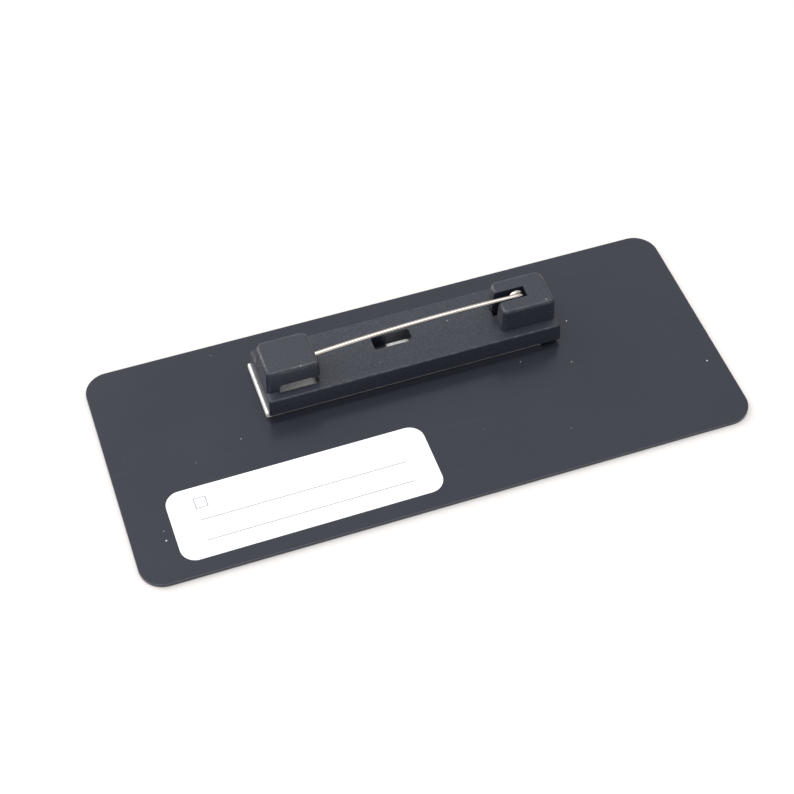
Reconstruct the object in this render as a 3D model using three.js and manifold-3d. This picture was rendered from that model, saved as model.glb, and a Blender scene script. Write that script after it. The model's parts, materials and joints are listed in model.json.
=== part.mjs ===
// A name badge lying face down: a thin plate with rounded corners, and on its back
// a moulded pin bar on a foam pad, a bowed steel pin and a small sticker.
// Millimetres. +X along the long side, +Y towards the badge's top edge, +Z up.
// The origin is the centre of the plate's face, which lies on z = 0.

import * as THREE from 'three';
import { mergeVertices } from 'three/addons/utils/BufferGeometryUtils.js';
import Module from 'manifold-3d';

const wasm = await Module();
wasm.setup();

// Plate
const PLATE_LENGTH = 76;
const PLATE_WIDTH = 32;
const PLATE_THICKNESS = 0.5;
const PLATE_CORNER = 3;

// Sticker
const LABEL_LENGTH = 31.8;
const LABEL_WIDTH = 9.85;
const LABEL_THICKNESS = 0.1;
const LABEL_CORNER = 1.9;
const LABEL_LEFT_MARGIN = 5.1;
const LABEL_NEAR_MARGIN = 2.05;
const LABEL_TURN = THREE.MathUtils.degToRad(0.3);

// Moulded bar: a thick skin on a wall all round, shallowly hollow underneath.
// Length and width are those of its underside, from which the sides lean in by the draft
const BAR_LENGTH = 37.8;
const BAR_WIDTH = 8.8;
const BAR_HEIGHT = 2.45;
const BAR_DRAFT = 0.15;
const BAR_SKIN = 1.9;
const BAR_WALL = 0.6;
const BAR_CORNER = 0.35;
const BAR_EDGE = 0.2;
const BAR_FAR_MARGIN = 4.85;
const BAR_SHIFT = 1.04;

// Foam pad under the bar, stuck on a little off centre
const FOAM_LENGTH = 35.75;
const FOAM_WIDTH = 8.25;
const FOAM_THICKNESS = 0.8;
const FOAM_SHIFT_X = -1.34;
const FOAM_SHIFT_Y = 0.22;
const FOAM_CLEARANCE = 0.3;

// The two blocks on the bar, measured at their foot, with sides that lean in by the draft
const BLOCK_WIDTH = 5.7;
const BLOCK_HEIGHT = 3.25;
const BLOCK_DRAFT = 0.2;
const BLOCK_SETBACK = 1.4;
const BLOCK_NEAR_CORNER = 0.45;
const BLOCK_FAR_CORNER = 1;
const BLOCK_EDGE = 0.4;
const BLOCK_ROOT = 0.5;

// Catch block: end wall, back wall, roof and a front lip that hangs from the roof
const CATCH_LENGTH = 6.92;
const CATCH_INSET = 0.18;
const CATCH_END_WALL = 1.63;
const CATCH_BACK_WALL = 0.95;
const CATCH_LIP = 0.8;
const CATCH_ROOF = 0.55;
const CATCH_WINDOW_HEIGHT = 0.95;
const CATCH_WINDOW_CHAMFER = 0.3;
const CATCH_HOLE_OVERHANG = 0.15;
const CATCH_HOLE_INSET = 0.25;

// Coil block: a slot that is open at the top and towards the catch
const COIL_BLOCK_LENGTH = 7.15;
const COIL_BLOCK_INSET = 0.34;
const COIL_INSET = 2.8;
const COIL_SLOT_WIDTH = 1.65;

// Openings through the bar's skin, in one row, and a rib across the hollow underside
const OPENING_WIDTH = 1.9;
const OPENING_SHIFT = 0.4;
const OPENING_CORNER = 0.25;
const MIDDLE_OPENING_LENGTH = 4.9;
const MIDDLE_OPENING_SHIFT = -1.79;
const COIL_OPENING_LENGTH = 2;
const COIL_OPENING_OVERHANG = 0.05;
const RIB_THICKNESS = 2;

// Steel pin
const WIRE_DIAMETER = 0.55;
const COIL_RADIUS = 0.8;
const COIL_PITCH = 0.58;
const COIL_PROUD = 0.16;
const COIL_CLEARANCE = 0.1;
const COIL_LEG = 2;
const COIL_LEG_SLOPE = THREE.MathUtils.degToRad(30);
const COIL_POST_CLEARANCE = 0.08;
const NEEDLE_SHIFT = -0.43;
const NEEDLE_BOW = 0.68;
const NEEDLE_TIP_DROP = 1.06;
const NEEDLE_TIP_CLEARANCE = 0.5;
const NEEDLE_TAPER = 2.5;
const NEEDLE_POINT_RADIUS = 0.05;

// Fineness of round shapes
const CORNER_STEPS = 6;
const EDGE_STEPS = 3;
const WIRE_HALF_SIDES = 5;
const WIRE_STEP = 0.32;
const POST_SIDES = 20;
const THROUGH = 1;

// Places that follow from the sizes, in the bar's own frame:
// the centre of the bar's underside is its origin
const barLeft = -BAR_LENGTH / 2;
const barRight = BAR_LENGTH / 2;
const barNear = -BAR_WIDTH / 2;
const barFar = BAR_WIDTH / 2;
const hollowTop = BAR_HEIGHT - BAR_SKIN;
const blockTop = BAR_HEIGHT + BLOCK_HEIGHT;
const blockNear = barNear + BLOCK_SETBACK;
const blockFar = blockNear + BLOCK_WIDTH;
const catchLeft = barLeft + CATCH_INSET;
const catchRight = catchLeft + CATCH_LENGTH;
const catchInside = catchLeft + CATCH_END_WALL;
const catchBack = blockFar - CATCH_BACK_WALL;
const roofUnderside = blockTop - CATCH_ROOF;
const coilBlockRight = barRight - COIL_BLOCK_INSET;
const coilBlockLeft = coilBlockRight - COIL_BLOCK_LENGTH;
const coilSlotY = (blockNear + blockFar) / 2;
const openingLeft = MIDDLE_OPENING_SHIFT - MIDDLE_OPENING_LENGTH / 2;
const ribLeft = openingLeft - OPENING_CORNER;
const ribRight = ribLeft + RIB_THICKNESS;
const wireRadius = WIRE_DIAMETER / 2;

// The coil turns one and a half times about a post across the slot
const coilX = coilBlockLeft + COIL_INSET;
const coilZ = blockTop + COIL_PROUD - wireRadius - COIL_RADIUS;
const coilSlotRight = coilX + COIL_RADIUS + wireRadius + COIL_CLEARANCE;

// A closed manifold solid from a three.js geometry
function solidOf(geometry) {
  const bare = geometry.index ? geometry.toNonIndexed() : geometry.clone();
  bare.deleteAttribute('normal');
  bare.deleteAttribute('uv');
  const merged = mergeVertices(bare, 1e-4);
  return new wasm.Manifold(new wasm.Mesh({
    numProp: 3,
    vertProperties: merged.attributes.position.array,
    triVerts: new Uint32Array(merged.index.array),
  }));
}

// A three.js geometry from a manifold solid
function geometryOf(solid) {
  const mesh = solid.getMesh();
  const geometry = new THREE.BufferGeometry();
  geometry.setAttribute('position', new THREE.BufferAttribute(mesh.vertProperties, 3));
  geometry.setIndex(new THREE.BufferAttribute(mesh.triVerts, 1));
  geometry.computeVertexNormals();
  return geometry;
}

// A box between two limits along each axis
function box([left, right], [near, far], [bottom, top]) {
  const geometry = new THREE.BoxGeometry(right - left, far - near, top - bottom);
  geometry.translate((left + right) / 2, (near + far) / 2, (bottom + top) / 2);
  return solidOf(geometry);
}

// A rectangle whose near and far corners are rounded by their own radii
function roundedRectangle([left, right], [near, far], nearCorner, farCorner = nearCorner) {
  const shape = new THREE.Shape();
  shape.moveTo(left + nearCorner, near);
  shape.lineTo(right - nearCorner, near);
  shape.absarc(right - nearCorner, near + nearCorner, nearCorner, -Math.PI / 2, 0);
  shape.lineTo(right, far - farCorner);
  shape.absarc(right - farCorner, far - farCorner, farCorner, 0, Math.PI / 2);
  shape.lineTo(left + farCorner, far);
  shape.absarc(left + farCorner, far - farCorner, farCorner, Math.PI / 2, Math.PI);
  shape.lineTo(left, near + nearCorner);
  shape.absarc(left + nearCorner, near + nearCorner, nearCorner, Math.PI, Math.PI * 1.5);
  return shape;
}

// A flat sheet of the given outline, standing on z = bottom
function sheet(shape, bottom, thickness) {
  const geometry = new THREE.ExtrudeGeometry(shape, {
    depth: thickness,
    bevelEnabled: false,
    curveSegments: CORNER_STEPS,
  });
  geometry.translate(0, 0, bottom);
  return geometry;
}

// Leans the sides of a standing form in towards its middle, by the draft over its height
function lean(geometry, xs, ys, [bottom, top], draft) {
  const position = geometry.getAttribute('position');
  const middleX = (xs[0] + xs[1]) / 2;
  const middleY = (ys[0] + ys[1]) / 2;
  const perX = (2 * draft) / (xs[1] - xs[0]);
  const perY = (2 * draft) / (ys[1] - ys[0]);
  for (let i = 0; i < position.count; i += 1) {
    const share = (position.getZ(i) - bottom) / (top - bottom);
    position.setX(i, middleX + (position.getX(i) - middleX) * (1 - perX * share));
    position.setY(i, middleY + (position.getY(i) - middleY) * (1 - perY * share));
  }
}

// A moulded block with rounded upright corners, leaning sides and a rounded top edge
function mouldedBlock(xs, ys, [bottom, top], corners, edge, draft) {
  const geometry = new THREE.ExtrudeGeometry(roundedRectangle(xs, ys, ...corners), {
    depth: top - bottom - edge,
    bevelThickness: edge,
    bevelSize: edge,
    bevelOffset: -edge,
    bevelSegments: EDGE_STEPS,
    curveSegments: CORNER_STEPS,
  });
  geometry.translate(0, 0, bottom);
  lean(geometry, xs, ys, [bottom, top], draft);
  const below = box(
    [xs[0] - THROUGH, xs[1] + THROUGH],
    [ys[0] - THROUGH, ys[1] + THROUGH],
    [bottom - edge - THROUGH, bottom],
  );
  return solidOf(geometry).subtract(below);
}

// An opening through the skin with rounded corners
function skinOpening([left, right], [near, far]) {
  const outline = roundedRectangle([left, right], [near, far], OPENING_CORNER);
  return solidOf(sheet(outline, hollowTop - THROUGH, THROUGH + BAR_SKIN + BLOCK_ROOT));
}

// Plate
function plateGeometry() {
  const outline = roundedRectangle(
    [-PLATE_LENGTH / 2, PLATE_LENGTH / 2],
    [-PLATE_WIDTH / 2, PLATE_WIDTH / 2],
    PLATE_CORNER,
  );
  return sheet(outline, 0, PLATE_THICKNESS);
}

// Sticker, about its own centre
function labelGeometry() {
  const outline = roundedRectangle(
    [-LABEL_LENGTH / 2, LABEL_LENGTH / 2],
    [-LABEL_WIDTH / 2, LABEL_WIDTH / 2],
    LABEL_CORNER,
  );
  return sheet(outline, 0, LABEL_THICKNESS);
}

// Foam pad, in the bar's frame: the flat pad below the bar, and the foam that
// stands in the two halves of the hollow underside up to the skin
function foamGeometry() {
  const left = FOAM_SHIFT_X - FOAM_LENGTH / 2;
  const right = FOAM_SHIFT_X + FOAM_LENGTH / 2;
  const near = FOAM_SHIFT_Y - FOAM_WIDTH / 2;
  const far = FOAM_SHIFT_Y + FOAM_WIDTH / 2;
  const inset = BAR_WALL + FOAM_CLEARANCE;
  const coreNear = Math.max(near, barNear + inset);
  const coreFar = Math.min(far, barFar - inset);
  const coreLeft = Math.max(left, barLeft + inset);
  const coreRight = Math.min(right, barRight - inset);
  const overlap = FOAM_THICKNESS / 2;
  const pad = box([left, right], [near, far], [-FOAM_THICKNESS, 0]);
  const leftCore = box([coreLeft, ribLeft - FOAM_CLEARANCE], [coreNear, coreFar], [-overlap, hollowTop]);
  const rightCore = box([ribRight + FOAM_CLEARANCE, coreRight], [coreNear, coreFar], [-overlap, hollowTop]);
  return geometryOf(pad.add(leftCore).add(rightCore));
}

// The catch's room: hollow below the roof, open towards the coil block,
// with the window below the lip and the opening under both
function catchRoom() {
  const openRight = catchRight + THROUGH;
  const lipBack = blockNear + CATCH_LIP;
  const room = box([catchInside, openRight], [lipBack, catchBack], [BAR_HEIGHT, roofUnderside]);
  const windowTop = BAR_HEIGHT + CATCH_WINDOW_HEIGHT;
  const outline = new THREE.Shape();
  outline.moveTo(catchInside, BAR_HEIGHT);
  outline.lineTo(openRight, BAR_HEIGHT);
  outline.lineTo(openRight, windowTop);
  outline.lineTo(catchInside + CATCH_WINDOW_CHAMFER, windowTop);
  outline.lineTo(catchInside, windowTop - CATCH_WINDOW_CHAMFER);
  const window = sheet(outline, 0, THROUGH + CATCH_LIP);
  window.rotateX(Math.PI / 2);
  window.translate(0, lipBack, 0);
  const floor = skinOpening(
    [catchInside, catchRight - CATCH_HOLE_INSET],
    [blockNear - CATCH_HOLE_OVERHANG, catchBack],
  );
  return { room: room.add(solidOf(window)), floor };
}

// The post that the coil turns on, across the slot
function coilPost() {
  const radius = COIL_RADIUS - wireRadius - COIL_POST_CLEARANCE;
  const length = COIL_SLOT_WIDTH + 2 * BLOCK_ROOT;
  const geometry = new THREE.CylinderGeometry(radius, radius, length, POST_SIDES);
  geometry.translate(coilX, coilSlotY, coilZ);
  return solidOf(geometry);
}

// Moulded bar with its blocks
function baseGeometry() {
  const skirted = mouldedBlock(
    [barLeft, barRight],
    [barNear, barFar],
    [0, BAR_HEIGHT],
    [BAR_CORNER],
    BAR_EDGE,
    BAR_DRAFT,
  );
  const hollowY = [barNear + BAR_WALL, barFar - BAR_WALL];
  const leftHollow = box([barLeft + BAR_WALL, ribLeft], hollowY, [-THROUGH, hollowTop]);
  const rightHollow = box([ribRight, barRight - BAR_WALL], hollowY, [-THROUGH, hollowTop]);
  const corners = [BLOCK_NEAR_CORNER, BLOCK_FAR_CORNER];
  const blockZ = [BAR_HEIGHT - BLOCK_ROOT, blockTop];
  const blockY = [blockNear, blockFar];
  const blockEdges = [corners, BLOCK_EDGE, BLOCK_DRAFT];
  const catchBlock = mouldedBlock([catchLeft, catchRight], blockY, blockZ, ...blockEdges);
  const coilBlock = mouldedBlock([coilBlockLeft, coilBlockRight], blockY, blockZ, ...blockEdges);
  const slot = box(
    [coilBlockLeft - THROUGH, coilSlotRight],
    [coilSlotY - COIL_SLOT_WIDTH / 2, coilSlotY + COIL_SLOT_WIDTH / 2],
    [BAR_HEIGHT - BLOCK_ROOT - THROUGH, blockTop + THROUGH],
  );
  const rowY = [OPENING_SHIFT - OPENING_WIDTH / 2, OPENING_SHIFT + OPENING_WIDTH / 2];
  const coilOpeningLeft = coilBlockLeft - COIL_OPENING_OVERHANG;
  const coilOpening = skinOpening([coilOpeningLeft, coilOpeningLeft + COIL_OPENING_LENGTH], rowY);
  const middleOpening = skinOpening([openingLeft, openingLeft + MIDDLE_OPENING_LENGTH], rowY);
  const rib = box([ribLeft, ribRight], hollowY, [0, hollowTop]);
  const { room, floor } = catchRoom();
  const hollowBar = skirted
    .subtract(leftHollow)
    .subtract(rightHollow)
    .subtract(middleOpening.subtract(rib))
    .subtract(coilOpening)
    .subtract(floor);
  const blocks = catchBlock.subtract(room).add(coilBlock.subtract(slot)).subtract(floor);
  return geometryOf(hollowBar.add(blocks).add(coilPost()));
}

// One stretch of the coil, clockwise seen from the near side
class CoilCurve extends THREE.Curve {
  constructor(startAngle, endAngle, startY) {
    super();
    this.startAngle = startAngle;
    this.endAngle = endAngle;
    this.startY = startY;
  }

  getPoint(share, target = new THREE.Vector3()) {
    const angle = THREE.MathUtils.lerp(this.startAngle, this.endAngle, share);
    const turned = (this.startAngle - angle) / (2 * Math.PI);
    return target.set(
      COIL_RADIUS * Math.cos(angle),
      this.startY + COIL_PITCH * turned,
      COIL_RADIUS * Math.sin(angle),
    );
  }
}

// Pin wire, about the coil's centre: a bowed needle from its point in the catch to
// the coil, one and a half turns, and a short straight leg. The bow is a parabola,
// and the needle is round from the shoulder of its point onwards
function wireGeometry() {
  const tip = new THREE.Vector3(
    catchInside + NEEDLE_TIP_CLEARANCE - coilX,
    NEEDLE_SHIFT,
    roofUnderside - NEEDLE_TIP_DROP - coilZ,
  );
  const slope = (4 * NEEDLE_BOW - (COIL_RADIUS - tip.z)) / -tip.x;
  const startAngle = Math.PI / 2 - Math.atan(slope);
  const endAngle = -2 * Math.PI - Math.PI / 2 + COIL_LEG_SLOPE;
  const coil = new CoilCurve(startAngle, endAngle, NEEDLE_SHIFT);
  const needleEnd = coil.getPoint(0);
  const legStart = coil.getPoint(1);
  const crown = tip.clone().add(needleEnd).multiplyScalar(0.5);
  crown.z += 2 * NEEDLE_BOW;
  const bow = new THREE.QuadraticBezierCurve3(tip, crown, needleEnd);
  const pointShare = NEEDLE_TAPER / (2 * tip.distanceTo(crown));
  const shoulder = bow.getPoint(pointShare);
  const shoulderCrown = crown.clone().lerp(needleEnd, pointShare);
  const legDirection = new THREE.Vector3(-Math.cos(COIL_LEG_SLOPE), 0, -Math.sin(COIL_LEG_SLOPE));
  const path = new THREE.CurvePath();
  path.add(new THREE.QuadraticBezierCurve3(shoulder, shoulderCrown, needleEnd));
  path.add(coil);
  path.add(new THREE.LineCurve3(legStart, legStart.clone().addScaledVector(legDirection, COIL_LEG)));
  const section = new THREE.Shape().absarc(0, 0, wireRadius, 0, 2 * Math.PI);
  const tube = new THREE.ExtrudeGeometry(section, {
    extrudePath: path,
    steps: Math.round(path.getLength() / WIRE_STEP),
    curveSegments: WIRE_HALF_SIDES,
  });
  return geometryOf(solidOf(tube).add(needlePoint(shoulder, shoulderCrown)));
}

// The ground point of the needle: a slender cone on the wire's end
function needlePoint(shoulder, shoulderCrown) {
  const outwards = shoulder.clone().sub(shoulderCrown).normalize();
  const cone = new THREE.CylinderGeometry(
    NEEDLE_POINT_RADIUS,
    wireRadius,
    NEEDLE_TAPER,
    2 * WIRE_HALF_SIDES,
  );
  cone.translate(0, NEEDLE_TAPER / 2 - wireRadius / 4, 0);
  cone.applyQuaternion(new THREE.Quaternion().setFromUnitVectors(new THREE.Vector3(0, 1, 0), outwards));
  cone.translate(shoulder.x, shoulder.y, shoulder.z);
  return solidOf(cone);
}

// A finish in the colour, roughness and metalness of the real surface
function finish(colour, roughness, metalness = 0) {
  return new THREE.MeshStandardMaterial({ color: colour, roughness, metalness });
}

function part(name, geometry, material) {
  const mesh = new THREE.Mesh(geometry, material);
  mesh.name = name;
  return mesh;
}

const badge = new THREE.Group();
badge.name = 'name_badge';
badge.add(part('badge_plate', plateGeometry(), finish(0x26262a, 0.5)));

const sticker = new THREE.Group();
sticker.position.set(
  -PLATE_LENGTH / 2 + LABEL_LEFT_MARGIN + LABEL_LENGTH / 2,
  -PLATE_WIDTH / 2 + LABEL_NEAR_MARGIN + LABEL_WIDTH / 2,
  PLATE_THICKNESS,
);
sticker.rotation.z = LABEL_TURN;
sticker.add(part('back_label', labelGeometry(), finish(0xf6f6f6, 0.4)));
badge.add(sticker);

const pinBar = new THREE.Group();
pinBar.position.set(
  BAR_SHIFT,
  PLATE_WIDTH / 2 - BAR_FAR_MARGIN - BAR_WIDTH / 2,
  PLATE_THICKNESS + FOAM_THICKNESS,
);
pinBar.add(part('foam_pad', foamGeometry(), finish(0xe4e3de, 0.9)));
pinBar.add(part('pin_base', baseGeometry(), finish(0x202024, 0.45)));
badge.add(pinBar);

const pin = new THREE.Group();
pin.position.set(coilX, coilSlotY, coilZ);
pin.add(part('pin_wire', wireGeometry(), finish(0xd9d5cf, 0.2, 1)));
pinBar.add(pin);

export default badge;
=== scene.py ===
"""A name badge lying face down, dressed for the camera.

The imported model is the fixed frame: it gives the place of every piece and the axis of the pin.
Five pieces are modelled around it: the plate, its sticker, the foam pad, the moulded pin bar
and the steel pin. Lengths below are in millimetres and become metres where Blender takes them.
Only the studio's lights and its floor's side are given in metres.
"""
import json
import logging
import math
from collections.abc import Callable
from dataclasses import dataclass
from enum import Enum
from typing import Any

import bpy
from mathutils import Matrix, Vector


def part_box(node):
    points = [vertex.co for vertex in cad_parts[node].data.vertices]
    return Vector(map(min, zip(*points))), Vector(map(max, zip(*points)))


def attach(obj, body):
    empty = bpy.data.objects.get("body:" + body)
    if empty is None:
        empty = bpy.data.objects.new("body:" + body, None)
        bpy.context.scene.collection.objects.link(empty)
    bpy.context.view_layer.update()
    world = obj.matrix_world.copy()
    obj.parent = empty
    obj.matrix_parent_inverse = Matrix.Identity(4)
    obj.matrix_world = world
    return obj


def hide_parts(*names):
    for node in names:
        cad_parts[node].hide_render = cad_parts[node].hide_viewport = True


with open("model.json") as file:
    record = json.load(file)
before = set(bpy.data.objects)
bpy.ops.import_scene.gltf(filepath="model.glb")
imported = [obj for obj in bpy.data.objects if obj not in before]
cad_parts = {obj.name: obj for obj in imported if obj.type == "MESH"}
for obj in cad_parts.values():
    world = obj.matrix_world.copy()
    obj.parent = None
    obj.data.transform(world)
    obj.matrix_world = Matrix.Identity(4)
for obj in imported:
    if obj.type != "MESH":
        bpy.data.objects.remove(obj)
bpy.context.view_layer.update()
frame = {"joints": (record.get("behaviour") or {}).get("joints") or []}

MM = 0.001
EDGE_ATTRIBUTE = "rounded_edge"
# A face whose normal follows one axis more closely than this is flat, not part of a rounded edge.
FLAT_LIMIT = 0.99
# A face whose normal points up more than this is a top.
TOP_LIMIT = 0.9
# Two faces that meet at a wider angle than this keep a sharp edge in the shading.
SHARP_ANGLE = math.radians(40)
# How far a cutting tool stands past what it cuts.
CUT_THROUGH = 1.0
# Two places that are nearer than this are the same place.
SAME_PLACE = 1e-4

log = logging.getLogger("name_badge")

Span = tuple[float, float]
Triple = tuple[float, float, float]
Colour = Triple
EdgeTest = Callable[[Vector, Vector], bool]
Piece = bpy.types.Object
Socket = bpy.types.NodeSocket


class Slot(Enum):
    """The record's material slots."""

    PLATE = "plate_plastic"
    BAR = "bar_plastic"
    FOAM = "foam"
    STEEL = "pin_steel"
    LABEL = "label_film"


class Body(Enum):
    """The bodies that the pieces ride on."""

    BADGE = "badge"
    PIN = "pin"


class Join(Enum):
    """What a boolean modifier does with its tool."""

    ADD = "UNION"
    CUT = "DIFFERENCE"


# Places taken from the frame


def node_spans(node: str) -> tuple[Span, Span, Span]:
    """Reads where a node of the frame lies.

    Args:
        node: Name of the node.

    Returns:
        Its limits along X, Y and Z, in millimetres.
    """
    low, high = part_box(node)
    return tuple((low[axis] / MM, high[axis] / MM) for axis in range(3))


def middle(span: Span) -> float:
    """Gives the middle of a span."""
    return (span[0] + span[1]) / 2


def around(centre: float, width: float) -> Span:
    """Gives the span of a width about a centre."""
    return (centre - width / 2, centre + width / 2)


# Modelling by hand: primitives, edit mode and modifiers


def activate(piece: Piece) -> None:
    """Selects one object alone and makes it the active one.

    Args:
        piece: The object.
    """
    bpy.ops.object.select_all(action="DESELECT")
    piece.select_set(True)
    bpy.context.view_layer.objects.active = piece


def apply_place(piece: Piece) -> None:
    """Moves an object's place, turn and scale into its mesh."""
    activate(piece)
    bpy.ops.object.transform_apply(location=True, rotation=True, scale=True)


def block(name: str, x: Span, y: Span, z: Span) -> Piece:
    """Adds a cube primitive between limits.

    Args:
        name: Name of the new object.
        x: Limits along X, in millimetres.
        y: Limits along Y.
        z: Limits along Z.

    Returns:
        The new object, with its place in its mesh.
    """
    bpy.ops.object.select_all(action="DESELECT")
    centre = Vector((middle(x), middle(y), middle(z))) * MM
    extent = Vector((x[1] - x[0], y[1] - y[0], z[1] - z[0])) * MM
    bpy.ops.mesh.primitive_cube_add(size=1.0, location=centre, scale=extent)
    piece = bpy.context.active_object
    piece.name = name
    apply_place(piece)
    return piece


def round_edges(piece: Piece, chosen: EdgeTest, radius: float, segments: int) -> None:
    """Rounds the edges that pass a test.

    Args:
        piece: The mesh object.
        chosen: Says from an edge's two ends, in millimetres, whether it is rounded.
        radius: Width of the rounding, in millimetres.
        segments: Faces across the rounding.
    """
    activate(piece)
    mesh = piece.data
    bpy.context.tool_settings.mesh_select_mode = (False, True, False)
    mesh.polygons.foreach_set("select", [False] * len(mesh.polygons))
    mesh.vertices.foreach_set("select", [False] * len(mesh.vertices))
    for edge in mesh.edges:
        start, end = (mesh.vertices[index].co / MM for index in edge.vertices)
        edge.select = chosen(start, end)
    bpy.ops.object.mode_set(mode="EDIT")
    bpy.ops.mesh.bevel(offset=radius * MM, segments=segments, affect="EDGES", clamp_overlap=True)
    bpy.ops.object.mode_set(mode="OBJECT")


def upright(start: Vector, end: Vector) -> bool:
    """Says whether an edge stands upright, or nearly so where the sides lean."""
    return abs(start.z - end.z) > 2 * max(abs(start.x - end.x), abs(start.y - end.y))


def lean_sides(piece: Piece, x: Span, y: Span, draft: float) -> None:
    """Draws the top face of a plain block in on every side, as a moulding's draft does.

    Args:
        piece: A block that hasn't been rounded yet.
        x: Its limits along X, in millimetres.
        y: Its limits along Y.
        draft: How far each side leans in over the block's height.
    """
    activate(piece)
    mesh = piece.data
    middle_height = sum(vertex.co.z for vertex in mesh.vertices) / len(mesh.vertices)
    bpy.context.tool_settings.mesh_select_mode = (True, False, False)
    mesh.polygons.foreach_set("select", [False] * len(mesh.polygons))
    mesh.edges.foreach_set("select", [False] * len(mesh.edges))
    for vertex in mesh.vertices:
        vertex.select = vertex.co.z > middle_height
    shares = (1 - 2 * draft / (x[1] - x[0]), 1 - 2 * draft / (y[1] - y[0]), 1.0)
    centre = Vector((middle(x), middle(y), 0.0)) * MM
    bpy.ops.object.mode_set(mode="EDIT")
    bpy.ops.transform.resize(value=shares, center_override=centre)
    bpy.ops.object.mode_set(mode="OBJECT")


def level_at(height: float) -> EdgeTest:
    """Makes a test for the edges that lie at one height."""
    return lambda start, end: max(abs(start.z - height), abs(end.z - height)) < SAME_PLACE


def combine(piece: Piece, tool: Piece, join: Join) -> None:
    """Joins a tool to a piece or cuts it out, and removes the tool.

    Args:
        piece: The object that is changed.
        tool: The object that is joined or cut out.
        join: Which of the two is done.
    """
    modifier = piece.modifiers.new("combine", "BOOLEAN")
    modifier.operation = join.value
    modifier.solver = "EXACT"
    modifier.object = tool
    activate(piece)
    bpy.ops.object.modifier_apply(modifier=modifier.name)
    bpy.data.meshes.remove(tool.data)


def soften(piece: Piece, width: float, segments: int, angle: float) -> None:
    """Breaks the sharp edges of a finished form with a bevel modifier.

    Args:
        piece: The mesh object.
        width: Width of the bevel, in millimetres.
        segments: Faces across the bevel.
        angle: Least angle between two faces for the edge to be sharp, in radians.
    """
    modifier = piece.modifiers.new("soften", "BEVEL")
    modifier.width = width * MM
    modifier.segments = segments
    modifier.limit_method = "ANGLE"
    modifier.angle_limit = angle
    modifier.use_clamp_overlap = True
    activate(piece)
    bpy.ops.object.modifier_apply(modifier=modifier.name)


def shade(piece: Piece) -> None:
    """Smooths the shading over round stretches and keeps large faces flat.

    Args:
        piece: The mesh object.
    """
    activate(piece)
    bpy.ops.object.shade_smooth_by_angle(angle=SHARP_ANGLE)
    modifier = piece.modifiers.new("flat faces", "WEIGHTED_NORMAL")
    modifier.keep_sharp = True
    bpy.ops.object.modifier_apply(modifier=modifier.name)


def mark_edges(piece: Piece) -> None:
    """Stores on each face whether it belongs to a rounded edge, for the finish to read.

    Args:
        piece: The mesh object.
    """
    mesh = piece.data
    marks = mesh.attributes.new(EDGE_ATTRIBUTE, "FLOAT", "FACE")
    for face in mesh.polygons:
        aligned = max(abs(value) for value in face.normal) > FLAT_LIMIT
        marks.data[face.index].value = 0.0 if aligned else 1.0


def finish_piece(
    piece: Piece, node: str, body: Body, material: bpy.types.Material
) -> None:
    """Dresses a piece, hangs it on its body and hides the node of the frame that it replaces.

    Args:
        piece: The finished object.
        node: The node of the frame that it replaces.
        body: The body that it rides on.
        material: Its finish.
    """
    piece.data.materials.clear()
    piece.data.materials.append(material)
    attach(piece, body.value)
    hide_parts(node)
    log.info("%s: %d faces", piece.name, len(piece.data.polygons))


# Node trees


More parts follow.
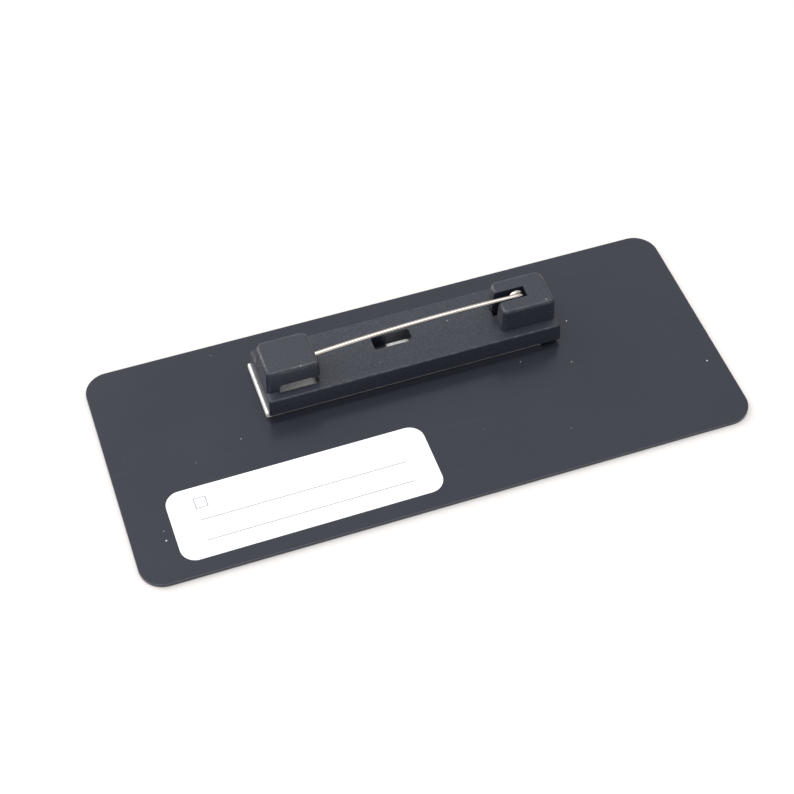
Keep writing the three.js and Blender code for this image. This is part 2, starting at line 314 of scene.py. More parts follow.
class NodeSheet:
    """A shader node tree with short calls that add nodes and feed them."""

    def __init__(self, tree: bpy.types.NodeTree) -> None:
        """Keeps the tree that the calls work on."""
        self.tree = tree

    def feed(self, node: bpy.types.Node, values: dict[str | int, Any]) -> None:
        """Feeds a node's inputs.

        Args:
            node: The node.
            values: A socket, a colour or a number for each input, by its name or place.
        """
        for name, value in values.items():
            target = node.inputs[name]
            if isinstance(value, Socket):
                self.tree.links.new(value, target)
            else:
                target.default_value = (*value, 1.0) if target.type == "RGBA" else value

    def add(
        self, kind: str, values: dict[str | int, Any] | None = None, **settings: Any
    ) -> bpy.types.Node:
        """Adds a node.

        Args:
            kind: Type of the node.
            values: What its inputs are fed with.
            **settings: Properties of the node itself.

        Returns:
            The new node.
        """
        node = self.tree.nodes.new(kind)
        for name, value in settings.items():
            setattr(node, name, value)
        self.feed(node, values or {})
        return node

    def group(self, tree: bpy.types.NodeTree, values: dict[str, float]) -> bpy.types.bpy_prop_collection:
        """Places a shared group and gives its outputs."""
        return self.add("ShaderNodeGroup", values, node_tree=tree).outputs

    def scaled(self, place: Socket, scale: Triple) -> Socket:
        """Scales coordinates along each axis."""
        return self.add("ShaderNodeMapping", {"Vector": place, "Scale": scale}).outputs["Vector"]

    def millimetres(self) -> Socket:
        """Gives the object coordinates in millimetres."""
        return self.scaled(self.add("ShaderNodeTexCoord").outputs["Object"], (1 / MM, 1 / MM, 1 / MM))

    def noise(self, place: Socket, scale: float, detail: float) -> Socket:
        """Gives a noise texture of so many lumps per unit of its coordinates."""
        values = {"Vector": place, "Scale": scale, "Detail": detail}
        return self.add("ShaderNodeTexNoise", values).outputs["Fac"]

    def stretch(self, value: Socket, source: Span, target: Span = (0.0, 1.0)) -> Socket:
        """Maps one range of a value smoothly to another and clamps it.

        Args:
            value: The value.
            source: The range that it is taken from.
            target: The range that it is taken to.

        Returns:
            The mapped value.
        """
        limits = {"From Min": source[0], "From Max": source[1], "To Min": target[0], "To Max": target[1]}
        node = self.add("ShaderNodeMapRange", {"Value": value, **limits}, interpolation_type="SMOOTHSTEP")
        return node.outputs["Result"]

    def math(self, operation: str, first: Socket | float, second: Socket | float = 0.0) -> Socket:
        """Works out one operation on two values, each a socket or a number."""
        return self.add("ShaderNodeMath", {0: first, 1: second}, operation=operation).outputs[0]

    def blend(self, share: Socket, first: Socket | Colour, second: Socket | Colour) -> Socket:
        """Mixes two colours by the share of the second."""
        return self.add("ShaderNodeMix", {0: share, 6: first, 7: second}, data_type="RGBA").outputs[2]

    def openness(self, reach: float) -> Socket:
        """Gives how open the surroundings of a place are, within a reach in millimetres."""
        node = self.add("ShaderNodeAmbientOcclusion", {"Distance": reach * MM}, samples=8)
        return node.outputs["AO"]

    def looks_up(self) -> Socket:
        """Masks the faces that look up.

        Returns:
            The mask.
        """
        normal = {"Vector": self.add("ShaderNodeNewGeometry").outputs["True Normal"]}
        upward = self.add("ShaderNodeSeparateXYZ", normal).outputs["Z"]
        return self.math("GREATER_THAN", upward, TOP_LIMIT)

    def bump(self, height: Socket, depth: float) -> Socket:
        """Turns a height of 0 to 1 into a normal, for a depth in millimetres."""
        values = {"Height": height, "Strength": 1.0, "Distance": depth * MM}
        return self.add("ShaderNodeBump", values).outputs["Normal"]


class Effects:
    """Shader node groups that several finishes share, each built once."""

    drifts_per_mm: float = 0.09
    speck_radius: Span = (0.02, 0.06)
    speck_blur: float = 0.02
    speck_strength: Span = (0.15, 1.0)
    scuff_turns: Span = (0.35, -0.8)
    scuff_stretches: tuple[Triple, Triple] = ((0.05, 3.5, 1.0), (0.07, 2.6, 1.0))
    scuff_limits: Span = (0.70, 0.78)
    patches_per_mm: float = 1.1
    patch_limits: Span = (0.35, 0.65)
    patch_strength: Span = (0.25, 1.0)

    def __init__(self) -> None:
        """Builds the groups."""
        self.grain = self._grain()
        self.dust = self._dust()
        self.scuffs = self._scuffs()
        self.rubbed_and_highlit = self._rubbed_and_highlit()

    @staticmethod
    def _group(
        name: str, inputs: list[str], outputs: list[str]
    ) -> tuple[NodeSheet, bpy.types.Node, bpy.types.Node]:
        """Starts a group with number inputs and number outputs.

        Args:
            name: Name of the group.
            inputs: Names of the inputs.
            outputs: Names of the outputs.

        Returns:
            The node sheet, the group's input node and its output node.
        """
        tree = bpy.data.node_groups.new(name, "ShaderNodeTree")
        for direction, labels in (("INPUT", inputs), ("OUTPUT", outputs)):
            for label in labels:
                tree.interface.new_socket(label, in_out=direction, socket_type="NodeSocketFloat")
        sheet = NodeSheet(tree)
        return sheet, sheet.add("NodeGroupInput"), sheet.add("NodeGroupOutput")

    def _grain(self) -> bpy.types.NodeTree:
        """Builds a fine moulded grain with a slow drift over it.

        Returns:
            The group.
        """
        sheet, given, result = self._group("Moulded grain", ["Lumps per mm", "Drift"], ["Height", "Drift"])
        place = sheet.millimetres()
        lumps = {"Vector": place, "Scale": given.outputs["Lumps per mm"], "Detail": 3.0, "Roughness": 0.6}
        fine = sheet.add("ShaderNodeTexNoise", lumps)
        centred = sheet.math("SUBTRACT", sheet.noise(place, self.drifts_per_mm, detail=3.0), 0.5)
        drift = sheet.math("MULTIPLY", centred, given.outputs["Drift"])
        sheet.feed(result, {"Height": fine.outputs["Fac"], "Drift": drift})
        return sheet.tree

    def _dust(self) -> bpy.types.NodeTree:
        """Builds sparse specks of dust of uneven size on the faces that look up.

        Returns:
            The group.
        """
        sheet, given, result = self._group("Dust specks", ["Specks per mm", "Amount"], ["Mask"])
        spread = {"Vector": sheet.millimetres(), "Scale": given.outputs["Specks per mm"], "Randomness": 1.0}
        cells = sheet.add("ShaderNodeTexVoronoi", spread, voronoi_dimensions="2D")
        tone = sheet.add("ShaderNodeSeparateColor", {"Color": cells.outputs["Color"]})
        present = sheet.math("LESS_THAN", tone.outputs["Red"], given.outputs["Amount"])
        radius = sheet.stretch(tone.outputs["Green"], (0.0, 1.0), self.speck_radius)
        inside = sheet.math("SUBTRACT", radius, cells.outputs["Distance"])
        speck = sheet.stretch(inside, (0.0, self.speck_blur))
        strength = sheet.stretch(tone.outputs["Blue"], (0.0, 1.0), self.speck_strength)
        mask = sheet.math("MULTIPLY", sheet.math("MULTIPLY", speck, strength), present)
        sheet.feed(result, {"Mask": sheet.math("MULTIPLY", mask, sheet.looks_up())})
        return sheet.tree

    def _scuffs(self) -> bpy.types.NodeTree:
        """Builds faint hairline scuffs that run in two directions.

        Returns:
            The group.
        """
        sheet, given, result = self._group("Hairline scuffs", ["Amount"], ["Mask"])
        place = sheet.millimetres()
        lines = []
        for turn, stretch in zip(self.scuff_turns, self.scuff_stretches):
            values = {"Vector": place, "Rotation": (0.0, 0.0, turn), "Scale": stretch}
            turned = sheet.add("ShaderNodeMapping", values)
            streak = sheet.noise(turned.outputs["Vector"], 1.0, detail=2.0)
            lines.append(sheet.stretch(streak, self.scuff_limits))
        both = sheet.math("MAXIMUM", *lines)
        sheet.feed(result, {"Mask": sheet.math("MULTIPLY", both, given.outputs["Amount"])})
        return sheet.tree

    def _rubbed_and_highlit(self) -> bpy.types.NodeTree:
        """Builds a mask of edges that are rubbed brighter in places, partly as a painted highlight.

        Returns:
            The group.
        """
        sheet, given, result = self._group("Rubbed and highlit edges", ["Amount"], ["Mask"])
        edge = sheet.add("ShaderNodeAttribute", attribute_name=EDGE_ATTRIBUTE)
        clouds = sheet.noise(sheet.millimetres(), self.patches_per_mm, detail=3.0)
        patches = sheet.stretch(clouds, self.patch_limits, self.patch_strength)
        mask = sheet.math("MULTIPLY", edge.outputs["Fac"], patches)
        sheet.feed(result, {"Mask": sheet.math("MULTIPLY", mask, given.outputs["Amount"])})
        return sheet.tree


def new_material(name: str) -> tuple[NodeSheet, bpy.types.Material, bpy.types.Node]:
    """Starts a material.

    Args:
        name: Name of the material.

    Returns:
        Its node sheet, the material and its Principled shader.
    """
    material = bpy.data.materials.new(name)
    material.use_nodes = True
    sheet = NodeSheet(material.node_tree)
    sheet.tree.nodes.clear()
    shader = sheet.add("ShaderNodeBsdfPrincipled")
    sheet.add("ShaderNodeOutputMaterial", {"Surface": shader.outputs["BSDF"]})
    return sheet, material, shader


# Finishes


@dataclass(frozen=True)
class BlackPlastic:
    """Black plastic with a fine mottled grain, dust, hairline scuffs and lighter rubbed edges, partly
    painted highlight.

    A moulding also has a thin glossy skin that the grain mottles. It is weaker where an edge is
    rubbed, and it is cut down in hollows and recesses as painted shade.
    """

    name: str
    colour: Colour
    roughness: float
    specular: float
    grain_depth: float
    dust: float
    scuffs: float
    rubbed_and_highlit: float
    # Lighter colour of scuffs and rubbed edges; on the rounded edges it is partly a painted highlight.
    wear_and_highlight_colour: Colour = (0.12, 0.12, 0.125)
    dust_colour: Colour = (0.50, 0.50, 0.50)
    specular_tint: Colour = (0.86, 0.90, 1.0)
    roughness_drift: float = 0.25
    dust_dullness: float = 0.3
    lumps_per_mm: float = 9.0
    specks_per_mm: float = 0.5
    skin: Span = (0.0, 0.0)
    skin_ior: float = 1.7
    skin_roughness: float = 0.37
    mottle_limits: Span = (0.35, 0.65)
    # How far and how strongly the glossy skin is cut down in hollows and recesses, as painted shade.
    hollow_shade_reach: float = 2.5
    hollow_shade_limits: Span = (0.25, 0.75)
    hollow_shade_sheen: float = 0.1
    edge_sheen: float = 0.35

    def material(self, effects: Effects) -> bpy.types.Material:
        """Builds the material.

        Args:
            effects: The shared node groups.

        Returns:
            The new material.
        """
        sheet, material, shader = new_material(self.name)
        lumps = {"Lumps per mm": self.lumps_per_mm, "Drift": self.roughness_drift}
        grain = sheet.group(effects.grain, lumps)
        specks = {"Specks per mm": self.specks_per_mm, "Amount": self.dust}
        dust = sheet.group(effects.dust, specks)["Mask"]
        scuffs = sheet.group(effects.scuffs, {"Amount": self.scuffs})["Mask"]
        rubbed_and_highlit = sheet.group(effects.rubbed_and_highlit, {"Amount": self.rubbed_and_highlit})["Mask"]
        # Rounded edges lighten in patches, partly as wear and partly as a painted highlight.
        worn_and_highlit = sheet.blend(rubbed_and_highlit, self.colour, self.wear_and_highlight_colour)
        scuffed = sheet.blend(scuffs, worn_and_highlit, self.wear_and_highlight_colour)
        rough = sheet.math("ADD", grain["Drift"], self.roughness)
        sheet.feed(shader, {
            "Base Color": sheet.blend(dust, scuffed, self.dust_colour),
            "Roughness": sheet.math("ADD", rough, sheet.math("MULTIPLY", dust, self.dust_dullness)),
            "Normal": sheet.bump(grain["Height"], self.grain_depth),
            "Specular IOR Level": self.specular,
            "Specular Tint": self.specular_tint,
        })
        if max(self.skin) > 0.0:
            sheet.feed(shader, {
                "Coat Weight": self._skin_weight(sheet, grain["Height"], rubbed_and_highlit),
                "Coat IOR": self.skin_ior,
                "Coat Roughness": self.skin_roughness,
            })
        return material

    def _skin_weight(self, sheet: NodeSheet, grain: Socket, rubbed_and_highlit: Socket) -> Socket:
        """Works out how strong the glossy skin is from place to place.

        Args:
            sheet: The node sheet.
            grain: The height of the grain.
            rubbed_and_highlit: The mask of the rubbed edges, partly a painted highlight.

        Returns:
            The strength of the skin.
        """
        mottled = sheet.stretch(grain, self.mottle_limits, self.skin)
        # Painted shade: the glossy skin weakens where the surroundings close in.
        openness = sheet.openness(self.hollow_shade_reach)
        painted_hollow_shade = sheet.stretch(openness, self.hollow_shade_limits, (self.hollow_shade_sheen, 1.0))
        edges = sheet.stretch(rubbed_and_highlit, (0.0, self.rubbed_and_highlit), (1.0, self.edge_sheen))
        return sheet.math("MULTIPLY", sheet.math("MULTIPLY", mottled, painted_hollow_shade), edges)


@dataclass(frozen=True)
class FoamTape:
    """Closed-cell foam with small open cells: its tacky skin is white; its sides and cell pits are darker
    as painted shade.
    """

    colour: Colour = (0.95, 0.95, 0.95)
    # Painted shade: faces that don't look up take this greyer colour.
    shaded_side_colour: Colour = (0.55, 0.54, 0.54)
    shaded_colour: Colour = (0.56, 0.54, 0.53)
    cells_per_mm: float = 6.0
    cell_limits: Span = (0.05, 0.5)
    cell_depth: float = 0.05
    clouds_per_mm: float = 1.3
    cloud_limits: Span = (0.3, 0.7)
    shaded_depth: float = 0.5
    shade_strength: float = 0.35
    roughness: float = 0.85
    specular: float = 0.25

    def material(self) -> bpy.types.Material:
        """Builds the material.

        Returns:
            The new material.
        """
        sheet, material, shader = new_material("foam tape")
        place = sheet.millimetres()
        spread = {"Vector": place, "Scale": self.cells_per_mm, "Randomness": 1.0}
        cells = sheet.add("ShaderNodeTexVoronoi", spread)
        pits = sheet.stretch(cells.outputs["Distance"], self.cell_limits)
        clouds = sheet.noise(place, self.clouds_per_mm, detail=4.0)
        depth = sheet.math("MULTIPLY", pits, sheet.stretch(clouds, self.cloud_limits))
        shade_share = sheet.stretch(depth, (0.0, self.shaded_depth), (self.shade_strength, 0.0))
        # Painted shade: the sides are greyer than the white top.
        top_and_shaded_sides = sheet.blend(sheet.looks_up(), self.shaded_side_colour, self.colour)
        sheet.feed(shader, {
            "Base Color": sheet.blend(shade_share, top_and_shaded_sides, self.shaded_colour),
            "Roughness": self.roughness,
            "Normal": sheet.bump(pits, self.cell_depth),
            "Specular IOR Level": self.specular,
        })
        return material


@dataclass(frozen=True)
class BrightSteel:
    """Nickel-bright spring steel, nearly a mirror, with faint lines from drawing."""

    colour: Colour = (0.56, 0.51, 0.47)
    dull_colour: Colour = (0.48, 0.43, 0.38)
    roughness: Span = (0.17, 0.23)
    line_stretch: Triple = (0.25, 9.0, 9.0)
    lines_per_mm: float = 1.6
    line_limits: Span = (0.3, 0.7)
    line_depth: float = 0.0001
    clouds_per_mm: float = 0.7
    cloud_limits: Span = (0.45, 0.75)
    cloud_strength: float = 0.5

    def material(self) -> bpy.types.Material:
        """Builds the material.

        Returns:
            The new material.
        """
        sheet, material, shader = new_material("spring steel")
        place = sheet.millimetres()
        lines = sheet.noise(sheet.scaled(place, self.line_stretch), self.lines_per_mm, detail=3.0)
        clouds = sheet.noise(place, self.clouds_per_mm, detail=3.0)
        dull = sheet.stretch(clouds, self.cloud_limits, (0.0, self.cloud_strength))
        sheet.feed(shader, {
            "Base Color": sheet.blend(dull, self.colour, self.dull_colour),
            "Roughness": sheet.stretch(lines, self.line_limits, self.roughness),
            "Normal": sheet.bump(lines, self.line_depth),
            "Metallic": 1.0,
        })
        return material


@dataclass(frozen=True)
class StickerFilm:
    """White coated sticker with thin ruled lines for writing on."""

    centre: Vector
    turn: float
    paper: Colour = (0.84, 0.84, 0.86)
    ink: Colour = (0.28, 0.30, 0.34)
    ink_limits: Span = (0.2, 0.5)
    ink_strength: Span = (0.75, 1.0)
    line_half: float = 0.075
    line_blur: float = 0.02
    line_reach: float = 12.6
    line_heights: Span = (-2.7, 0.2)
    box_centre: Span = (-11.9, 2.6)
    box_half: float = 0.7
    fibres_per_mm: float = 3.0
    fibre_depth: float = 0.002
    roughness: float = 0.38
    clouds_per_mm: float = 0.4
    cloud_limits: Span = (0.3, 0.7)
    cloud_roughness: Span = (-0.06, 0.08)

    def material(self) -> bpy.types.Material:
        """Builds the material.

        Returns:
            The new material.
        """
        sheet, material, shader = new_material("sticker film")
        seat = {
            "Vector": sheet.add("ShaderNodeTexCoord").outputs["Object"],
            "Location": self.centre * MM,
            "Rotation": (0.0, 0.0, self.turn),
            "Scale": (MM, MM, MM),
        }
        place = sheet.add("ShaderNodeMapping", seat, vector_type="TEXTURE").outputs["Vector"]
        parts = sheet.add("ShaderNodeSeparateXYZ", {"Vector": place})
        ink = self._ruled(sheet, parts.outputs["X"], parts.outputs["Y"])
        fibre = sheet.noise(place, self.fibres_per_mm, detail=4.0)
        strength = sheet.stretch(fibre, self.ink_limits, self.ink_strength)
        clouds = sheet.noise(place, self.clouds_per_mm, detail=2.0)
        drift = sheet.stretch(clouds, self.cloud_limits, self.cloud_roughness)
        sheet.feed(shader, {
            "Base Color": sheet.blend(sheet.math("MULTIPLY", ink, strength), self.paper, self.ink),
            "Roughness": sheet.math("ADD", drift, self.roughness),
            "Normal": sheet.bump(fibre, self.fibre_depth),
        })
        return material

    def _band(self, sheet: NodeSheet, value: Socket, centre: float, half: float) -> Socket:
        """Masks the band of a coordinate about a centre.

        Args:
            sheet: The node sheet.
            value: The coordinate, in millimetres.
            centre: The middle of the band.
            half: Half the band's width.

        Returns:
            The mask.
        """
        away = sheet.math("ABSOLUTE", sheet.math("SUBTRACT", value, centre))
        return sheet.stretch(away, (half + self.line_blur, half - self.line_blur))

    def _ruled(self, sheet: NodeSheet, across: Socket, up: Socket) -> Socket:
        """Masks the ruled lines and the small box above them.

        Args:
            sheet: The node sheet.
            across: The coordinate along the sticker, in millimetres.
            up: The coordinate across it.

        Returns:
            The mask of the ink.
        """
        within = self._band(sheet, across, 0.0, self.line_reach)
        ink = None
        for height in self.line_heights:
            line = sheet.math("MULTIPLY", self._band(sheet, up, height, self.line_half), within)
            ink = line if ink is None else sheet.math("MAXIMUM", ink, line)
        outer = self._square(sheet, across, up, self.box_half + self.line_half)
        inner = self._square(sheet, across, up, self.box_half - self.line_half)
        return sheet.math("MAXIMUM", ink, sheet.math("SUBTRACT", outer, inner))

    def _square(self, sheet: NodeSheet, across: Socket, up: Socket, half: float) -> Socket:
        """Masks a square about the box's centre.

        Args:
            sheet: The node sheet.
            across: The coordinate along the sticker, in millimetres.
            up: The coordinate across it.
            half: Half the square's side.

        Returns:
            The mask.
        """
        wide = self._band(sheet, across, self.box_centre[0], half)
        tall = self._band(sheet, up, self.box_centre[1], half)
        return sheet.math("MULTIPLY", wide, tall)


# Pieces


@dataclass
class Plate:
    """The badge's flat plate."""

    corner: float = 3.0
    rim: float = 0.05
    corner_segments: int = 18
    rim_segments: int = 2

    def build(self, effects: Effects) -> Piece:
        """Models the plate and dresses it.

        Args:
            effects: The shared node groups.

        Returns:
            The finished piece.
        """
        x, y, z = node_spans("badge_plate")
        plate = block("plate_sheet", x, y, z)
        round_edges(plate, upright, self.corner, self.corner_segments)
        round_edges(plate, level_at(z[1]), self.rim, self.rim_segments)
        round_edges(plate, level_at(z[0]), self.rim, self.rim_segments)
        shade(plate)
        mark_edges(plate)
        satin = BlackPlastic(
            "satin black sheet",
            colour=(0.013, 0.015, 0.022),
            roughness=0.24,
            roughness_drift=0.12,
            grain_depth=0.0006,
            specular=0.63,
            dust=0.035,
            scuffs=0.06,
            rubbed_and_highlit=0.15,
        )
        finish_piece(plate, "badge_plate", Body.BADGE, satin.material(effects))
        return plate


@dataclass
class Sticker:
    """The white sticker at the lower left of the plate's back."""

    length: float = 31.8
    width: float = 9.85
    corner: float = 1.9
    turn: float = math.radians(0.3)
    rim: float = 0.025
    corner_segments: int = 14
    rim_segments: int = 2

    def build(self) -> Piece:
        """Models the sticker, turns it into place and dresses it.

        Returns:
            The finished piece.
        """
        x, y, z = node_spans("back_label")
        centre = Vector((middle(x), middle(y), 0.0))
        sticker = block("sticker", around(centre.x, self.length), around(centre.y, self.width), z)
        round_edges(sticker, upright, self.corner, self.corner_segments)
        round_edges(sticker, level_at(z[1]), self.rim, self.rim_segments)
        about = Matrix.Translation(centre * MM)
        sticker.data.transform(about @ Matrix.Rotation(self.turn, 4, "Z") @ about.inverted())
        shade(sticker)
        film = StickerFilm(centre=centre, turn=self.turn)
        finish_piece(sticker, "back_label", Body.BADGE, film.material())
        return sticker


@dataclass
class PinBar:
    """The moulded bar with its catch block and its coil block."""

    height: float = 2.45
    draft: float = 0.15
    skin: float = 1.9
    wall: float = 0.6
    corner: float = 0.35
    edge: float = 0.2
    block_width: float = 5.7
    block_draft: float = 0.2
    block_setback: float = 1.4
    block_root: float = 0.5
    block_near_corner: float = 0.45
    block_far_corner: float = 1.0
    block_edge: float = 0.4
    catch_length: float = 6.92
    catch_inset: float = 0.18
    catch_end_wall: float = 1.63
    catch_back_wall: float = 0.95
    catch_lip: float = 0.8
    catch_roof: float = 0.55
    window_height: float = 0.95
    window_chamfer: float = 0.3
    catch_hole_overhang: float = 0.15
    catch_hole_inset: float = 0.25
    coil_block_length: float = 7.15
    coil_block_inset: float = 0.34
    coil_slot_width: float = 1.65
    coil_slot_clearance: float = 1.175
    post_radius: float = 0.445
    opening_width: float = 1.9
    opening_shift: float = 0.4
    opening_corner: float = 0.25
    middle_opening_length: float = 4.9
    middle_opening_shift: float = -1.79
    coil_opening_length: float = 2.0
    coil_opening_overhang: float = 0.05
    rib: float = 2.0
    soft_edge: float = 0.05
    sharp_angle: float = math.radians(50)
    corner_segments: int = 8
    far_corner_segments: int = 10
    edge_segments: int = 5
    block_edge_segments: int = 6
    opening_segments: int = 5
    soft_segments: int = 2
    post_sides: int = 32

    def __post_init__(self) -> None:
        """Takes the bar's place from the frame."""
        self.x, self.y, self.z = node_spans("pin_base")
        self.top = self.z[0] + self.height
        self.hollow_top = self.top - self.skin
        self.block_y = (self.y[0] + self.block_setback, self.y[0] + self.block_setback + self.block_width)
        catch_left = self.x[0] + self.catch_inset
        self.catch_x = (catch_left, catch_left + self.catch_length)
        self.catch_inside = catch_left + self.catch_end_wall
        coil_right = self.x[1] - self.coil_block_inset
        self.coil_x = (coil_right - self.coil_block_length, coil_right)
        self.row_y = around(middle(self.y) + self.opening_shift, self.opening_width)
        opening_centre = middle(self.x) + self.middle_opening_shift
        self.middle_x = around(opening_centre, self.middle_opening_length)
        rib_left = self.middle_x[0] - self.opening_corner
        self.rib_x = (rib_left, rib_left + self.rib)

    def build(self, effects: Effects) -> Piece:
        """Models the moulding and dresses it.

        Args:
            effects: The shared node groups.

        Returns:
            The finished piece.
        """
        bar = self._bar()
        for opening in self._openings():
            combine(bar, opening, Join.CUT)
        combine(bar, self._catch(), Join.ADD)
        combine(bar, self._coil_block(), Join.ADD)
        combine(bar, self._post(), Join.ADD)
        soften(bar, self.soft_edge, self.soft_segments, self.sharp_angle)
        shade(bar)
        mark_edges(bar)
        moulded = BlackPlastic(
            "moulded black plastic",
            colour=(0.016, 0.019, 0.030),
            wear_and_highlight_colour=(0.036, 0.039, 0.048),
            roughness=0.37,
            lumps_per_mm=6.0,
            grain_depth=0.006,
            specular=0.1,
            skin=(0.44, 0.80),
            specks_per_mm=0.6,
            dust=0.06,
            scuffs=0.05,
            rubbed_and_highlit=0.2,
        )
        finish_piece(bar, "pin_base", Body.BADGE, moulded.material(effects))
        return bar

    def _bar(self) -> Piece:
        """Models the bar with its two hollows underneath.

        Returns:
            The bar, without its openings and blocks.
        """
        bar = block("pin_bar", self.x, self.y, (self.z[0], self.top))
        lean_sides(bar, self.x, self.y, self.draft)
        round_edges(bar, upright, self.corner, self.corner_segments)
        round_edges(bar, level_at(self.top), self.edge, self.edge_segments)
        inside_y = (self.y[0] + self.wall, self.y[1] - self.wall)
        inside_z = (self.z[0] - CUT_THROUGH, self.hollow_top)
        left = (self.x[0] + self.wall, self.rib_x[0])
        right = (self.rib_x[1], self.x[1] - self.wall)
        for span in (left, right):
            combine(bar, block("hollow", span, inside_y, inside_z), Join.CUT)
        return bar

    def _opening(self, x: Span, y: Span, bottom: float) -> Piece:
        """Models the tool for one opening through the skin.

        Args:
            x: The opening's limits along X, in millimetres.
            y: Its limits along Y.
            bottom: Where the tool starts.

        Returns:
            The tool.
        """
        tool = block("opening", x, y, (bottom, self.top + CUT_THROUGH))
        round_edges(tool, upright, self.opening_corner, self.opening_segments)
        return tool

    def _openings(self) -> list[Piece]:
        """Models the tools for the openings under the catch, in the middle and by the coil.

        Returns:
            The three tools.
        """
        below = self.hollow_top - CUT_THROUGH / 2
        catch_hole = (self.catch_inside, self.catch_x[1] - self.catch_hole_inset)
        catch_hole_y = (self.block_y[0] - self.catch_hole_overhang, self.block_y[1] - self.catch_back_wall)
        coil_left = self.coil_x[0] - self.coil_opening_overhang
        coil_hole = (coil_left, coil_left + self.coil_opening_length)
        return [
            self._opening(catch_hole, catch_hole_y, below),
            self._opening(self.middle_x, self.row_y, self.hollow_top),
            self._opening(coil_hole, self.row_y, below),
        ]

    def _block(self, name: str, x: Span) -> Piece:
        """Models one block with leaning sides, rounded corners and a rounded top edge.

        Args:
            name: Name of the block.
            x: Its limits along X, in millimetres.

        Returns:
            The block.
        """
        form = block(name, x, self.block_y, (self.top - self.block_root, self.z[1]))
        lean_sides(form, x, self.block_y, self.block_draft)
        centre = middle(self.block_y)
        near, far = self.corner_segments, self.far_corner_segments
        round_edges(form, lambda a, b: upright(a, b) and a.y < centre, self.block_near_corner, near)
        round_edges(form, lambda a, b: upright(a, b) and a.y > centre, self.block_far_corner, far)
        round_edges(form, level_at(self.z[1]), self.block_edge, self.block_edge_segments)
        return form

    def _catch(self) -> Piece:
        """Models the catch: a roofed block whose front lip hangs over a window.

        Returns:
            The catch.
        """
        catch = self._block("catch", self.catch_x)
        inside_x = (self.catch_inside, self.catch_x[1] + CUT_THROUGH)
        lip_back = self.block_y[0] + self.catch_lip
        floor = self.top - self.block_root - CUT_THROUGH
        roof = self.z[1] - self.catch_roof
        room_y = (lip_back, self.block_y[1] - self.catch_back_wall)
        combine(catch, block("room", inside_x, room_y, (floor, roof)), Join.CUT)
        window_y = (self.block_y[0] - CUT_THROUGH, lip_back + CUT_THROUGH / 2)
        window = block("window", inside_x, window_y, (floor, self.top + self.window_height))
        round_edges(window, self._closes_window, self.window_chamfer, 1)
        combine(catch, window, Join.CUT)
        return catch

    def _closes_window(self, start: Vector, end: Vector) -> bool:
        """Says whether an edge of the window's tool is the high one at its closed end."""
        closed_end = self.catch_inside + SAME_PLACE
        return all(point.x < closed_end and point.z > self.top for point in (start, end))

    def _coil_block(self) -> Piece:
        """Models the coil block with its slot, open at the top and towards the catch.

        Returns:
            The coil block.
        """
        form = self._block("coil_block", self.coil_x)
        pivot_x = frame["joints"][0]["pos_m"][0] / MM
        slot_x = (self.coil_x[0] - CUT_THROUGH, pivot_x + self.coil_slot_clearance)
        slot_y = around(middle(self.block_y), self.coil_slot_width)
        slot_z = (self.top - self.block_root - CUT_THROUGH, self.z[1] + CUT_THROUGH)
        combine(form, block("slot", slot_x, slot_y, slot_z), Join.CUT)
        return form

    def _post(self) -> Piece:
        """Models the post across the slot that the coil turns on.

        Returns:
            The post.
        """
        place = Vector(frame["joints"][0]["pos_m"])
        length = (self.coil_slot_width + 2 * self.block_root) * MM
        bpy.ops.object.select_all(action="DESELECT")
        bpy.ops.mesh.primitive_cylinder_add(
            vertices=self.post_sides,
            radius=self.post_radius * MM,
            depth=length,
            location=place,
            rotation=(math.pi / 2, 0.0, 0.0),
        )
        post = bpy.context.active_object
        post.name = "post"
        apply_place(post)
        return post


@dataclass
class FoamPad:
    """The foam tape under the bar, with the foam that stands in the bar's hollows."""

    thickness: float = 0.8
    squeeze: float = 0.04
    gap: float = 0.3
    cell_size: float = 0.14
    roughness: float = 0.02
    lump_size: float = 0.45
    lump_level: float = 0.7

    def build(self, bar: PinBar) -> Piece:
        """Models the foam and dresses it.

        Args:
            bar: The moulded bar that the foam stands in.

        Returns:
            The finished piece.
        """
        x, y, z = node_spans("foam_pad")
        pad_top = z[0] + self.thickness
        inset = bar.wall + self.gap
        core_y = (max(y[0], bar.y[0] + inset), min(y[1], bar.y[1] - inset))
        left = (max(x[0], bar.x[0] + inset), bar.rib_x[0] - self.gap)
        right = (bar.rib_x[1] + self.gap, min(x[1], bar.x[1] - inset))
        pad = block("foam_tape", x, (y[0] - self.squeeze, y[1]), (z[0], pad_top))
        for span in (left, right):
            combine(pad, block("core", span, core_y, (z[0] + self.thickness / 2, z[1])), Join.ADD)
        self._open_cells(pad)
        finish_piece(pad, "foam_pad", Body.BADGE, FoamTape().material())
        return pad

    def _open_cells(self, pad: Piece) -> None:
        """Gives the foam an even mesh and the uneven skin of cut cells.

        Args:
            pad: The foam.
        """
        activate(pad)
        remesh = pad.modifiers.new("even mesh", "REMESH")
        remesh.mode = "VOXEL"
        remesh.voxel_size = self.cell_size * MM
        bpy.ops.object.modifier_apply(modifier=remesh.name)
        lumps = bpy.data.textures.new("cell lumps", "CLOUDS")
        lumps.noise_scale = self.lump_size * MM
        displace = pad.modifiers.new("cell lumps", "DISPLACE")
        displace.texture = lumps
        displace.texture_coords = "LOCAL"
        displace.strength = self.roughness * MM
        displace.mid_level = self.lump_level
        bpy.ops.object.modifier_apply(modifier=displace.name)
        bpy.ops.object.shade_smooth()


